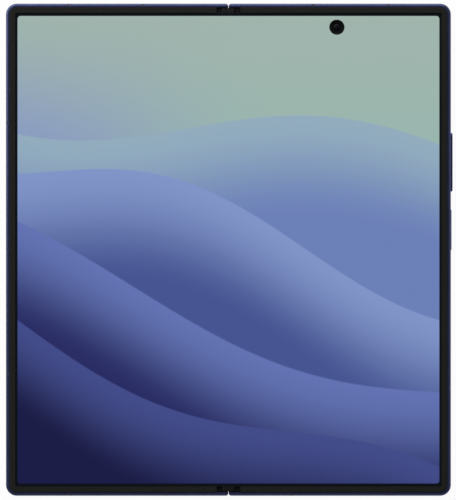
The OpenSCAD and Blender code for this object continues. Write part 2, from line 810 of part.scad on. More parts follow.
module cover_camera() {
    color(black) left_side() translate([cover_cam_x, cover_cam_y, 0]) {
        translate([0, 0, 0.05])
            camera_barrel(cover_cam_d, glass_t + 0.5, cover_cam_d - 0.7, cover_cam_d / 2);
        layer(glass_t + 0.5, plate_z0) plate(6, 6, 0.5);
    }
}

module island_outline(inset) {
    translate([island_x, island_y]) rotate(90) pill(island_l - 2 * inset, island_w - 2 * inset);
}

module rear_glass() {
    color(paint) back_glass() {
        layer(-1, 1) island_outline(-fit_gap);
        translate([flash_x, lens_ys[2], -1])
            cylinder(d = flash_d + 2 * fit_gap, h = 2, $fn = round_fn);
    }
}

module camera_island() {
    r = 0.4;
    color(paint) difference() {
        union() {
            layer(r - island_rise, glass_t) island_outline(0);
            layer(-island_rise, glass_t) island_outline(r);
            for (s = [-1, 1]) translate([island_x, island_y + s * (island_l - island_w) / 2, r - island_rise])
                rotate_extrude($fn = round_fn) translate([island_w / 2 - r, 0]) circle(r, $fn = 24);
            for (s = [-1, 1]) translate([island_x + s * (island_w / 2 - r), 0, r - island_rise])
                rotate([90, 0, 0]) translate([0, 0, -island_y])
                    cylinder(r = r, h = island_l - island_w, center = true, $fn = 24);
        }
        for (y = lens_ys) translate([island_x, y, -island_rise - 1])
            cylinder(d = barrel_d + 0.2, h = 4, $fn = round_fn);
    }
}

module lens_rings() {
    inner = lens_d / 2;
    outer = ring_d / 2;
    color(paint) for (y = lens_ys) translate([island_x, y, -island_rise])
        rotate_extrude($fn = round_fn) polygon([[inner, 0], [outer, 0], [outer, 0.25 - ring_rise],
            [outer - 0.25, -ring_rise], [inner + 0.5, -ring_rise], [inner, 0.5 - ring_rise]]);
}

module lens_windows() {
    color(black) for (y = lens_ys) translate([island_x, y, -island_rise - ring_rise + 0.55])
        cylinder(d = lens_d - 2 * fit_gap, h = 0.3, $fn = round_fn);
}

module rear_cameras() {
    color(black) for (y = lens_ys) translate([island_x, y, 0]) {
        translate([0, 0, -island_rise])
            camera_barrel(barrel_d, island_rise + glass_t + 0.2, barrel_d - 1.2, front_lens_d);
        layer(glass_t + 0.1, plate_z0) plate(camera_w, lens_pitch - 3.5, 1);
    }
}

module flash_window() {
    color("white") translate([flash_x, lens_ys[2], 0]) {
        cylinder(d = flash_d, h = glass_t, $fn = round_fn);
        translate([-flash_d / 2, -flash_d / 2, glass_t]) cube([flash_d, flash_d, plate_z0 - glass_t]);
    }
}

// ---- inside the left half ----

tray_x0 = half_w - tray_depth;
inner_x = wall_x + foot_l + 1.2;         // where the large inner pieces start
outer_x = half_w - rail_w - 0.4;
magnet_x = outer_x - 2;                  // inner pieces stop here beside the magnets
strip_y = body_h / 2 - rail_w - 0.6;     // inner pieces' furthest reach along the hinge
row_y = 17.2 - body_h / 2;               // top of the row of pieces along the bottom
battery_y = row_y + 2;                   // bottom of the batteries
reader_room = 8;                         // between the card tray and the left battery
shield_margin = 2;                       // bare board beside a shield
plug_room = 4;                           // bare board for a cable's plug
antenna_room = 6;                        // bare board for the antenna contacts
magnet_end = 8;                          // from the phone's ends to the magnets
magnet_l = 6;

module battery(x0, x1, y0, y1) {
    r = 2;
    translate([(x0 + x1) / 2, (y0 + y1) / 2, 0]) layer(plate_z0 - battery_t, plate_z0)
        plate(x1 - x0, y1 - y0, r);
}

module left_battery() {
    color(pack) left_side() battery(inner_x, outer_x, battery_y, tray_y - tray_l / 2 - reader_room);
}

module sub_board() {
    color(board) left_side() box(inner_x, magnet_x, -strip_y, row_y, plate_z0 - board_t, plate_z0);
}

// A sheet metal can over the chips on the boards' undersides
module shield(x0, x1, y0, y1) {
    translate([(x0 + x1) / 2, (y0 + y1) / 2, 0])
        layer(plate_z0 - board_t - shield_t, plate_z0 - board_t) plate(x1 - x0, y1 - y0, 0.6);
}

module sub_board_shield() {
    color(steel) left_side() shield(inner_x + plug_room, magnet_x - antenna_room,
        shield_margin - strip_y, row_y - shield_margin);
}

module tray_plate(x0, x1, grow, z0, z1) {
    box(x0, x1, tray_y - tray_l / 2 + 0.8 - grow, tray_y + tray_l / 2 - 0.8 + grow, z0, z1);
}

module card_tray() {
    t = 0.9;
    face_t = 1.1;
    color(paint) left_side() {
        translate([0, tray_y, edge_z]) along_x(half_w - face_t, half_w) pill(tray_l, tray_face);
        difference() {
            tray_plate(tray_x0, half_w - face_t, 0, edge_z - t / 2, edge_z + t / 2);
            // card's place
            translate([tray_x0 + 1.6, tray_y - 4.4, edge_z - t / 2 + 0.2]) cube([12.4, 8.9, 2]);
            translate([tray_x0 + 3, tray_y - 3.2, 0]) cube([9, 6.4, half_t]);
        }
    }
}

module card_reader() {
    color(steel) left_side() difference() {
        box(tray_x0 - 0.6, half_w - rail_w - 1.2, tray_y - tray_l / 2 + 0.3, tray_y + tray_l / 2 - 0.3,
            edge_z - 0.8, plate_z0);
        tray_plate(tray_x0 - 0.3, half_w, 0.15, edge_z - 0.55, edge_z + 0.55);
    }
}

module earpiece() {
    color(black) left_side()
        box(cover_cam_x - 18, cover_cam_x - 6, strip_y - 4, strip_y, glass_t + 0.5, plate_z0);
}

// ---- inside the right half ----

battery_y1 = island_y - island_l / 2 - 10;
board_x1 = island_x - camera_w / 2 - 2;
board_y0 = battery_y1 + 3;
board_y1 = strip_y - 5;

module right_battery() {
    color(pack) battery(inner_x, outer_x - 0.5, battery_y, battery_y1);
}

module main_board() {
    color(board) difference() {
        box(inner_x, board_x1, board_y0, board_y1, plate_z0 - board_t, plate_z0);
        translate([inner_cam_x, inner_cam_y, 0]) layer(0, half_t)
            plate(inner_cam_box + 0.8, inner_cam_box + 0.8, 0.8);
        translate([flash_x, lens_ys[2], 0]) layer(0, half_t) plate(flash_d + 0.6, flash_d + 0.6, 0.5);
    }
}

module board_shields() {
    mid_y = (board_y0 + board_y1) / 2;
    x0 = inner_x + shield_margin;
    x1 = flash_x - flash_d / 2 - shield_margin;
    color(steel) {
        shield(x0, x1, board_y0 + plug_room, mid_y - shield_margin);
        shield(x0, x1 - plug_room, mid_y + shield_margin, board_y1 - antenna_room);
    }
}

module charging_coil() {
    color("peru") translate([(inner_x + outer_x) / 2, (battery_y + battery_y1) / 2, glass_t])
        difference() {
            cylinder(d = coil_d, h = coil_t, $fn = round_fn);
            translate([0, 0, -1]) cylinder(d = coil_d - 22, h = 2, $fn = round_fn);
        }
}

module speaker(x0, x1, y0, y1) {
    color(black) translate([(x0 + x1) / 2, (y0 + y1) / 2, 0])
        layer(glass_t + 0.1, plate_z0) plate(x1 - x0, y1 - y0, 1);
}

module bottom_speaker() { speaker(bottom_slot_xs[0] - 2, bottom_slot_xs[2] + 2, -strip_y, row_y - 1); }
module top_speaker() { speaker(top_slot_xs[0] - 3, top_slot_xs[1] + 3, strip_y - 4.5, strip_y); }

module charging_socket() {
    y0 = rail_w + 2 * fit_gap - body_h / 2;
    color(steel) translate([usb_x, 0, usb_z]) difference() {
        along_y(y0, y0 + usb_l) pill(usb_w + 2 * usb_wall, usb_h + 2 * usb_wall);
        along_y(y0 - 1, y0 + usb_l - 0.8) pill(usb_w, usb_h);
    }
    // contact tongue
    color(black) translate([usb_x, 0, usb_z])
        box(-3.3, 3.3, y0 + 1.4, y0 + usb_l - 0.7, -0.35, 0.35);
}

module haptic_motor() {
    motor_l = 11;
    motor_w = 9;
    color(steel) translate([(inner_x + usb_x) / 2 - 3.85, row_y - motor_w / 2 - 2.5, 0])
        layer(plate_z0 - 2, plate_z0) plate(motor_l, motor_w, 1);
}

module key_switches() {
    face = half_w - key_flange - 2 * flange_t - key_travel - fit_gap;
    color(black) {
        for (y = [volume_y - volume_l / 3, volume_y + volume_l / 3, power_y])
            box(face - 0.6, face, y - 1.5, y + 1.5, edge_z - 0.8, edge_z + 0.8);
        box(face - 0.8, face - 0.6, power_y - power_l / 2, volume_y + volume_l / 2,
            edge_z - 1, plate_z0);
    }
}

module microphones() {
    color(steel) both_ends()
        box(mic_x - 1.5, mic_x + 1.5, strip_y - 2, strip_y, edge_z - 0.6, plate_z0);
}

module magnets() {
    color(steel) both_ends() box(magnet_x + 0.2, outer_x, body_h / 2 - magnet_end - magnet_l,
        body_h / 2 - magnet_end, plate_z0 - 1.4, plate_z0);
}

module left_magnets() { left_side() magnets(); }
module right_magnets() { magnets(); }

// ---- keys ----

// Half a key's section: X is the distance from the key's middle line, and Y runs out of the
// phone, where the edge is rounded
module key_half_section(y0, y1) {
    translate([0, y0]) square([key_w / 2, y1 - key_r - y0]);
    translate([0, y0]) square([key_w / 2 - key_r, y1 - y0]);
    translate([key_w / 2 - key_r, y1 - key_r]) circle(key_r, $fn = 24);
}

// A bar along Y with round ends, from x0 out to x1
module key_bar(l, x0, x1) {
    straight = (l - key_w) / 2;
    rotate([0, 90, 0]) {
        along_y(-straight, straight) {
            key_half_section(x0, x1);
            mirror([1, 0]) key_half_section(x0, x1);
        }
        both_ends() translate([0, straight, 0]) rotate_extrude(angle = 180, $fn = round_fn)
            key_half_section(x0, x1);
    }
}

module key(y, l, proud) {
    color(paint) translate([0, y, edge_z]) {
        key_bar(l, half_w - key_flange, half_w + proud);
        along_x(half_w - key_flange - flange_t, half_w - key_flange)
            pill(l + 2 * key_lip, key_w + 2 * key_lip);
        children();
    }
}

// A nub that presses a switch
module key_nub(dy) {
    box(half_w - key_flange - 2 * flange_t, half_w - key_flange - flange_t / 2,
        dy - 0.6, dy + 0.6, -0.5, 0.5);
}

module volume_key() {
    key(volume_y, volume_l, volume_proud) for (s = [-1, 1]) key_nub(s * volume_l / 3);
}

module power_key() {
    key(power_y, power_l, power_proud) key_nub(0);
}

hinge_cover();
hinge_end_caps();
rotator_brackets();
gear_brackets();
gear_shafts();
friction_washers();
hinge_screws();
fold_screen_strip();
hinge_flex_cable();
left_arms();
right_arms();
left_idler_gears();
right_idler_gears();
left_wing();
right_wing();
left_frame();
left_bezel();
left_screen_panel();
left_rotators();
left_arm_guides();
left_antenna_bands();
left_magnets();
left_screws();
left_battery();
cover_glass();
cover_display();
cover_camera();
sub_board();
sub_board_shield();
card_reader();
card_tray();
earpiece();
right_frame();
right_bezel();
right_screen_panel();
right_rotators();
right_arm_guides();
right_antenna_bands();
right_magnets();
right_screws();
right_battery();
rear_glass();
camera_island();
lens_rings();
lens_windows();
rear_cameras();
flash_window();
inner_camera();
main_board();
board_shields();
charging_coil();
top_speaker();
bottom_speaker();
charging_socket();
haptic_motor();
key_switches();
microphones();
volume_key();
power_key();
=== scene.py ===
# %% [markdown]
# # A phone that folds like a book
#
# The phone lies open with its folding screen up, and the camera looks straight down on it.
# Its construction comes ready-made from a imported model: every frame, glass, gear and key is
# there at its real size. This lesson gives each of them its finish, lights them, and models
# the few things that bend or are too fine for the construction model.
#
# Blender works in metres and a phone is designed in millimetres, so one named value turns
# one into the other. Everything is deselected first, because the pieces arrive selected and
# an operator acts on all that is selected.

# %% Load the phone
import json
import math
import bpy
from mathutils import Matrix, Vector


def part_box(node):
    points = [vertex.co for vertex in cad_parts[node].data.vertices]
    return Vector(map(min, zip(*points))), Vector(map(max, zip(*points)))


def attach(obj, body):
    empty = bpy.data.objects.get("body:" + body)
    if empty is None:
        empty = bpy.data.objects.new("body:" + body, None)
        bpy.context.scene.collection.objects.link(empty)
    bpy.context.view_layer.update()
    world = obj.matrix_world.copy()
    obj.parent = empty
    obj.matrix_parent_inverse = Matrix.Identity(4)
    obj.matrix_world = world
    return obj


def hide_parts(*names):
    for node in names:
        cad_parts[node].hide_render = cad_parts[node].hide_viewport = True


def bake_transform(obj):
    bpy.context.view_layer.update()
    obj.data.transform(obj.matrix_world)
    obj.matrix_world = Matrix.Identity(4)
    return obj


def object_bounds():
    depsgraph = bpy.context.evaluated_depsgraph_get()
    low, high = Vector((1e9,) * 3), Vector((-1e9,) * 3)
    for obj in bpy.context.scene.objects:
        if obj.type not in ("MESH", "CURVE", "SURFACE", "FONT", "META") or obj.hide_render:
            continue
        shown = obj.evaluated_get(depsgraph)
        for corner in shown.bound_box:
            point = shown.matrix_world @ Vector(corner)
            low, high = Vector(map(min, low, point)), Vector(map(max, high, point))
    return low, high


MM = 0.001
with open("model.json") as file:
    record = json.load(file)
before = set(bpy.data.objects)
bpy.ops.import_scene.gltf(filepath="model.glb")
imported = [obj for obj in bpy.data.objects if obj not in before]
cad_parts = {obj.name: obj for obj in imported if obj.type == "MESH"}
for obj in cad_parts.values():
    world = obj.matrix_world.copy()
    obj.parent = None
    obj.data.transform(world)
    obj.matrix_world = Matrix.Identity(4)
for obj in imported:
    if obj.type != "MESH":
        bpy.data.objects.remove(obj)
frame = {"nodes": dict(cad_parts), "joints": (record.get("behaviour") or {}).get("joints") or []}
nodes = frame["nodes"]
construction_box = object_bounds()
bpy.ops.object.select_all(action="DESELECT")

# %% [markdown]
# ## The camera
#
# The phone fills the picture and its sides don't show, so the picture was taken from far
# above with a long lens. A long lens needs distance: what it sees is as high as the
# distance times the sensor's size over the focal length. Solved for the distance, that
# gives the camera's height over the screen rim.

# %% Place the camera
lens_length = 200 * MM
sensor_size = 36 * MM
seen_height = 160.75 * MM
aim = Vector((-0.14 * MM, -0.09 * MM))
rim_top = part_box("left_bezel")[1].z
camera_height = rim_top + seen_height * lens_length / sensor_size
bpy.ops.object.camera_add(location=(aim.x, aim.y, camera_height), rotation=(0, 0, 0))
camera = bpy.context.object
camera.data.lens = lens_length / MM
camera.data.sensor_width = sensor_size / MM
bpy.context.scene.camera = camera
print("camera", round(camera_height, 3), "m above the phone's back")

# %% [markdown]
# ## Light
#
# The painted frame shines along its top edge and down to the middle of its left edge, and
# is dark along the bottom. So the light comes from beyond the top edge and from the left,
# low over the table: a soft box each, and two much weaker ones on the right and beyond the
# bottom edge. Nothing shines from straight above, because the screen faces the camera
# squarely and would mirror it. For the same reason the room is dim overhead and paler
# towards the horizon.

# %% Lamps
def soft_box(name, place, size, watts):
    """A square lamp at a place, facing the phone."""
    bpy.ops.object.light_add(type="AREA", location=place)
    lamp = bpy.context.object
    lamp.name = name
    lamp.rotation_euler = Vector(place).to_track_quat("Z", "Y").to_euler()
    lamp.data.size = size
    lamp.data.energy = watts
    print(name, size, "m wide,", watts, "W")

soft_box("top_edge_light", (-0.05, 1.10, 0.83), size=1.3, watts=13.5)
soft_box("left_light", (-0.72, 0.45, 0.56), size=0.9, watts=6.2)
soft_box("right_light", (0.95, 0.20, 0.75), size=0.9, watts=1.1)
soft_box("bottom_light", (0.10, -1.20, 1.05), size=0.6, watts=0.9)

# %% [markdown]
# ## Shader maths
#
# A finish is a small sum: so much noise, times a mask, plus a base value. Blender writes
# that as a chain of Math nodes, which is slow to read. The class below wraps one socket
# and gives it Python's operators, so that `1 - mask` adds the node for us. Colours don't
# go through Math nodes, which would turn them grey, so they have `mix`.

# %% Sockets that can be calculated with
class Value:
    """One output socket, with the operators that finishes use."""

    def __init__(self, tree, socket):
        self.tree = tree
        self.socket = socket

    def maths(self, operation, *values):
        node = self.tree.nodes.new("ShaderNodeMath")
        node.operation = operation
        for socket, value in zip(node.inputs, values):
            feed(self.tree, socket, value)
        return Value(self.tree, node.outputs[0])

    def __add__(self, other):
        return self.maths("ADD", self, other)

    def __radd__(self, other):
        return self.maths("ADD", other, self)

    def __sub__(self, other):
        return self.maths("SUBTRACT", self, other)

    def __rsub__(self, other):
        return self.maths("SUBTRACT", other, self)

    def __mul__(self, other):
        return self.maths("MULTIPLY", self, other)

    def __rmul__(self, other):
        return self.maths("MULTIPLY", other, self)

    def __truediv__(self, other):
        return self.maths("DIVIDE", self, other)

    def __abs__(self):
        return self.maths("ABSOLUTE", self)

    def most(self, other):
        return self.maths("MAXIMUM", self, other)

    def root(self):
        return self.maths("SQRT", self)

    def sine(self):
        return self.maths("SINE", self)

    def cycle(self):
        """What is left after the whole number, so that it starts again at 0 in every unit."""
        return self.maths("FRACT", self)

    def step(self, low, high):
        """0 below low, 1 above high, and an even curve between them."""
        node = self.tree.nodes.new("ShaderNodeMapRange")
        node.interpolation_type = "SMOOTHSTEP"
        feed(self.tree, node.inputs["Value"], self)
        node.inputs["From Min"].default_value = low
        node.inputs["From Max"].default_value = high
        return Value(self.tree, node.outputs["Result"])


def feed(tree, socket, value):
    """Links a Value to a socket, or sets a plain number or colour on it."""
    if isinstance(value, Value):
        tree.links.new(value.socket, socket)
    else:
        socket.default_value = value

# %% [markdown]
# A finish starts from the Principled shader that every new material has. `node` adds any
# other node: its type, the settings that come before its sockets, then what goes into
# them. `place` gives the spot on the phone in millimetres, which is the scale at which the
# finishes below are thought out.

# %% Building a finish
def colour(red, green, blue):
    """A colour as a picture editor gives it, 0 to 255, as the light values Blender wants."""
    def light(value):
        share = value / 255
        return share / 12.92 if share <= 0.04045 else ((share + 0.055) / 1.055) ** 2.4
    return (light(red), light(green), light(blue), 1)


class Finish:
    """A material in the making."""

    def __init__(self, name):
        self.material = bpy.data.materials.new(name)
        self.material.use_nodes = True
        self.tree = self.material.node_tree
        self.surface = self.tree.nodes["Principled BSDF"]
        print("finish", name)

    def node(self, kind, settings=None, inputs=None, output=0):
        node = self.tree.nodes.new(kind)
        for name, value in (settings or {}).items():
            setattr(node, name, value)
        for name, value in (inputs or {}).items():
            feed(self.tree, node.inputs[name], value)
        return Value(self.tree, node.outputs[output])

    def spot(self, scale, source):
        """The place on the piece in millimetres, times a scale for each axis."""
        here = self.node("ShaderNodeTexCoord", output=source)
        size = [value / MM for value in scale]
        return self.node("ShaderNodeMapping", inputs={"Vector": here, "Scale": size})

    def place(self, source="Object"):
        """X, Y and Z on the phone, in millimetres. A piece that bends reads its map, UV."""
        parts = self.tree.nodes.new("ShaderNodeSeparateXYZ")
        feed(self.tree, parts.inputs[0], self.spot((1, 1, 1), source))
        return [Value(self.tree, socket) for socket in parts.outputs]

    def noise(self, size, detail=2, scale=(1, 1, 1), source="Object"):
        """Cloudy noise around 0.5, size millimetres across, or longer where scale is small."""
        inputs = {"Vector": self.spot(scale, source), "Scale": 1 / size, "Detail": detail}
        return self.node("ShaderNodeTexNoise", inputs=inputs)

    def mix(self, share, first, second):
        """A colour between two. A Mix node has colours at inputs 6 and 7 and at output 2."""
        inputs = {0: share, 6: first, 7: second}
        return self.node("ShaderNodeMix", {"data_type": "RGBA"}, inputs, output=2)

    def bump(self, height, depth):
        """Relief of the given depth in millimetres where height runs from 0 to 1."""
        inputs = {"Height": height, "Distance": depth * MM, "Strength": 1.0}
        self.set({"Normal": self.node("ShaderNodeBump", inputs=inputs)})

    def set(self, inputs):
        for name, value in inputs.items():
            feed(self.tree, self.surface.inputs[name], value)

# %% [markdown]
# ## Painted metal
#
# The frame, the keys and the hinge's spine are aluminium: milled, blasted to a fine satin
# and dyed navy. Blasting leaves grains a tenth of a millimetre wide, too small to see one
# by one, but they break up the shine. Dyed metal is coloured in its reflections too, so
# most of the surface is metallic, under a thin clear seal.

# %% Dyed aluminium
def toned(tone, by):
    """The same colour made lighter or darker, with each of its three parts times one number."""
    return [by * part for part in tone[:3]] + [1]


def dyed_metal(name, tone, roughness, grain_depth):
    finish = Finish(name)
    grain = finish.noise(size=0.12, detail=3)
    clouds = finish.noise(size=9.0)
    finish.set({
        "Base Color": finish.mix(clouds.step(0.35, 0.7), tone, toned(tone, 1.12)),
        "Metallic": 0.75,
        "Roughness": roughness + 0.03 * (grain - 0.5) + 0.05 * (clouds - 0.5),
        "Coat Weight": 0.15,
        "Coat Roughness": 0.25,
    })
    finish.bump(grain, grain_depth)
    return finish.material

frame_paint = dyed_metal(
    "satin_navy_metal", tone=(0.048, 0.060, 0.152, 1), roughness=0.24, grain_depth=0.001)
key_paint = dyed_metal(
    "satin_navy_keys", tone=(0.025, 0.037, 0.142, 1), roughness=0.26, grain_depth=0.001)
hinge_paint = dyed_metal(
    "polished_navy_metal", tone=(0.042, 0.053, 0.140, 1), roughness=0.20, grain_depth=0.0005)
island_paint = dyed_metal(
    "fine_navy_metal", tone=(0.046, 0.058, 0.148, 1), roughness=0.30, grain_depth=0.001)

# %% [markdown]
# ## Black and dark plastics
#
# The raised rim round the screen is a soft, dry black that swallows light. The hinge's end
# caps are a harder black, their darker tone partly painted shade for their sunken place
# between the bezels, and the antenna bands are a navy filler. Inside, the speakers and other
# modules have a plain black shell. All four are plastics that differ in tone, roughness and
# grain, so one function makes them.

# %% Plastics
def moulded_plastic(name, tone, roughness, grain_size, grain_depth, shine=0.5):
    finish = Finish(name)
    grain = finish.noise(size=grain_size, detail=4)
    patches = finish.noise(size=6.0)
    finish.set({
        "Base Color": finish.mix(patches, toned(tone, 0.9), tone),
        "Roughness": roughness + 0.12 * (grain - 0.5) + 0.06 * (patches - 0.5),
        "Specular IOR Level": shine,
    })
    finish.bump(grain, grain_depth)
    return finish.material

soft_black = moulded_plastic(
    "soft_rim_black", tone=(0.0130, 0.0130, 0.0118, 1), roughness=0.8,
    grain_size=0.09, grain_depth=0.004, shine=0.12)
# The end caps' darker tone is partly painted shade for their sunken place between the bezels.
hinge_black_and_painted_shade = moulded_plastic(
    "end_cap_black_and_painted_shade", tone=(0.0040, 0.0040, 0.0044, 1), roughness=0.5,
    grain_size=0.15, grain_depth=0.003, shine=0.2)
band_plastic = moulded_plastic(
    "antenna_filler", tone=(0.018, 0.021, 0.062, 1), roughness=0.5,
    grain_size=0.2, grain_depth=0.002)
module_black = moulded_plastic(
    "module_black", tone=(0.02, 0.02, 0.021, 1), roughness=0.55,
    grain_size=0.25, grain_depth=0.006)

# %% [markdown]
# ## The lit screen
#
# The screen is one bright picture over two stiff panels and the strip that bends between
# them. Its picture is a set of long soft waves, light at the top and deep blue below. Each
# wave is the area under a slow sine curve: crisp at its crest, where it is lightest, and
# fading with the distance below the crest.

# %% The picture's waves
sky_left = colour(132, 148, 198)
sky_right = colour(152, 182, 174)
sky_top = colour(160, 180, 172)
crest_edge = 0.6
WAVES = [
    # height at the middle, slope, size, length, start, fade, crest and depth
    (38, -0.12, 9.0, 190, 0.4, 34, colour(146, 172, 190), colour(108, 128, 184)),
    (8, -0.30, 10.0, 165, 2.2, 36, colour(128, 148, 200), colour(70, 84, 146)),
    (-22, -0.34, 9.0, 200, 4.1, 34, colour(98, 114, 178), colour(40, 44, 100)),
    (-50, -0.42, 9.0, 180, 5.6, 30, colour(66, 76, 138), colour(26, 27, 70)),
]


def waves(finish, x, y):
    """The picture's colour at a spot in millimetres."""
    sky = finish.mix((x + 0.25 * y).step(-70, 30), sky_left, sky_right)
    picture = finish.mix(y.step(20, 80), sky, sky_top)
    for height, slope, size, length, start, fade, crest, depth in WAVES:
        crest_line = height + slope * x + size * (x * (2 * math.pi / length) + start).sine()
        below = crest_line - y
        wave = finish.mix(below.step(0, fade), crest, depth)
        picture = finish.mix(below.step(0, crest_edge), picture, wave)
    return picture

print("picture of", len(WAVES), "waves")

# %% [markdown]
# The lit area stops short of the rim, with small round corners. There is a well-known way to
# tell what lies in a rectangle with round corners: fold the plane into one quarter, measure
# how far the spot is past the corner's centre, and compare that with the corner's radius.
#
# A lit screen gives off light rather than reflecting it, so the picture goes into the
# emission, over a black glossy base.

# %% The lit area
lit_inset_x = 3.78
lit_inset_y = 4.03
lit_corner = 1.0
lit_edge = 0.06
frame_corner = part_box("right_frame")[1]
half_wide = frame_corner.x / MM
half_high = frame_corner.y / MM


def distance(x, y):
    """How far a spot is from the place where x and y are 0."""
    return (x * x + y * y).root()


def lit_area(x, y):
    """1 where the screen is lit, 0 on its black border."""
    reach_x = half_wide - lit_inset_x - lit_corner
    reach_y = half_high - lit_inset_y - lit_corner
    past_corner = distance((abs(x) - reach_x).most(0), (abs(y) - reach_y).most(0))
    return 1 - past_corner.step(lit_corner - lit_edge, lit_corner + lit_edge)


def screen(name, source):
    """The screen's finish. The strip that bends carries its picture on its map."""
    finish = Finish(name)
    x, y, _ = finish.place(source)
    lit = lit_area(x, y)
    finish.set({
        "Base Color": finish.mix(lit, colour(18, 23, 30), colour(6, 6, 8)),
        "Roughness": 0.16 + 0.05 * (finish.noise(size=14.0, source=source) - 0.5),
        "Specular IOR Level": 0.06,
        "Emission Color": finish.mix(lit, colour(0, 0, 0), waves(finish, x, y)),
        "Emission Strength": 1.0,
    })
    return finish.material

folding_screen = screen("lit_screen", "Object")
bending_screen = screen("lit_screen_strip", "UV")
print("lit area", 2 * (half_wide - lit_inset_x), "x", 2 * (half_high - lit_inset_y), "mm")

# %% [markdown]
# ## Glass
#
# The cover glass is clear, but what lies behind it is black, so it looks like a black
# mirror. The rear glass is etched and printed navy inside: matte to the touch, with a soft
# sheen. Both get a clear coat over their colour, rougher on the etched one. Only the glass
# over the rear cameras is really seen through.

# %% Glass finishes
def backed_glass(name, tone, roughness, shine, coat, coat_roughness, grain_depth):
    finish = Finish(name)
    grain = finish.noise(size=0.08)
    smear = finish.noise(size=22.0, detail=3)
    finish.set({
        "Base Color": finish.mix(smear, tone, toned(tone, 1.15)),
        "Roughness": roughness + 0.06 * (smear - 0.5),
        "Specular IOR Level": shine,
        "Coat Weight": coat * (0.8 + 0.2 * smear),
        "Coat Roughness": coat_roughness,
    })
    finish.bump(grain, grain_depth)
    return finish.material

cover_glass = backed_glass(
    "black_cover_glass", tone=(0.003, 0.0034, 0.0055, 1), roughness=0.08, shine=0.22,
    coat=0.1, coat_roughness=0.02, grain_depth=0.0005)
rear_glass = backed_glass(
    "etched_navy_glass", tone=(0.032, 0.042, 0.135, 1), roughness=0.42, shine=0.35,
    coat=0.2, coat_roughness=0.30, grain_depth=0.002)


def clear_glass(name, tint):
    finish = Finish(name)
    finish.set({
        "Base Color": tint,
        "Roughness": 0.01 + 0.02 * finish.noise(size=3.0),
        "IOR": 1.5,
        "Transmission Weight": 1.0,
    })
    return finish.material

lens_glass = clear_glass("coated_lens_glass", (0.86, 0.88, 0.96, 1))

# %% [markdown]
# ## Cameras
#
# Behind each window sits a lens barrel. Its steps are painted a flat black that traps stray
# light, with fine grooves turned into them, and in the middle lies the domed front lens. Its
# glass is painted with the reflection of a thin coating: a faint violet that turns green
# towards its rim. The inner camera looks through the screen's film, which takes nearly all the
# shine off its lens; its black is painted a little paler, as painted haze for the light that
# film scatters. The three rear barrels are one piece of the model, so the distance to a
# barrel's axis is worked out from a row that repeats.

# %% Lens barrels
# Painted reflection colours for the coated front lens: violet in the middle, green at the rim.
painted_glint_middle = colour(20, 17, 25)
painted_glint_rim = colour(10, 17, 16)
lens_edge = 0.05
grooves_per_mm = 2.5
groove_depth = 0.01


def from_middle(finish, box):
    """X and Y on the phone in millimetres, counted from the middle of a piece's box."""
    low, high = box
    middle = (low + high) / 2 / MM
    x, y, _ = finish.place()
    return x - middle.x, y - middle.y


def camera_finish(name, node, front_radius, count=1, shine=1.0, black=colour(7, 8, 8)):
    """So many grooved black barrels in a row along Y, which fill the piece from end to end."""
    finish = Finish(name)
    low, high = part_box(node)
    size = (high - low) / MM
    pitch = (size.y - size.x) / (count - 1) if count > 1 else size.y * 2
    shift = 0.5 * count % 1
    x, y = from_middle(finish, (low, high))
    radius = distance(x, ((y / pitch + shift).cycle() - 0.5) * pitch)
    lens = 1 - radius.step(front_radius - lens_edge, front_radius)
    # The front lens's colour is a painted reflection of its coating, not the glass's own tint.
    painted_glint = finish.mix((radius / front_radius).step(0.2, 1.0), painted_glint_middle, painted_glint_rim)
    grooves = (radius * grooves_per_mm).cycle() * (1 - lens)
    finish.set({
        "Base Color": finish.mix(lens, black, painted_glint),
        "Roughness": 0.75 - 0.70 * lens,
        "Specular IOR Level": 0.3 * shine,
        "Coat Weight": shine * lens,
        "Coat Roughness": 0.02,
    })
    finish.bump(grooves, groove_depth)
    return finish.material

rear_lenses = camera_finish("rear_lens_barrels", "lens_windows", front_radius=2.6, count=3)
cover_lens = camera_finish("cover_lens_barrel", "cover_camera", front_radius=1.0)
# The inner barrel's paler black is painted haze for the light the screen's film scatters.
inner_lens = camera_finish(
    "inner_lens_barrel", "inner_camera", front_radius=1.3, shine=0.08, black=colour(24, 26, 26))

# %% [markdown]
# ## Steel inside
#
# The hinge's rotators, gears and arms are hard steel, ground along the hinge. Sheet parts
# such as the board's shields are drawn steel, with lines that run across. A noise that is
# drawn out along one axis gives either kind of line.

# %% Ground steel and drawn steel
def ground_steel(name, tone, roughness, line_scale):
    finish = Finish(name)
    lines = finish.noise(size=0.12, detail=3, scale=line_scale)
    finish.set({
        "Base Color": finish.mix(lines, tone, toned(tone, 0.85)),
        "Metallic": 1.0,
        "Roughness": roughness + 0.18 * (lines - 0.5),
    })
    finish.bump(lines, 0.003)
    return finish.material

hinge_steel = ground_steel(
    "ground_hinge_steel", tone=(0.56, 0.57, 0.60, 1), roughness=0.30, line_scale=(1, 0.05, 1))
part_steel = ground_steel(
    "drawn_sheet_steel", tone=(0.62, 0.62, 0.61, 1), roughness=0.38, line_scale=(0.08, 1, 1))

# %% [markdown]
# ## Batteries and boards
#
# Batteries and boards never show in the closed phone, but each still has its own finish. A
# battery is wrapped in a dull film that creases. A board is lacquered green, and its copper
# tracks show through: they run one way in some fields and the other way in the rest.

# %% Battery wrap and circuit board
def off_stripe(value, per_mm):
    """How far a spot is from the middle of its stripe, with 0.5 at the stripe's edges."""
    return abs((value * per_mm).cycle() - 0.5)


def battery_wrap():
    finish = Finish("battery_wrap")
    creases = finish.noise(size=5.0, detail=4, scale=(1, 0.3, 1))
    finish.set({
        "Base Color": finish.mix(creases, colour(44, 46, 50), colour(58, 60, 66)),
        "Roughness": 0.45 + 0.2 * (creases - 0.5),
    })
    finish.bump(creases, 0.05)
    return finish.material


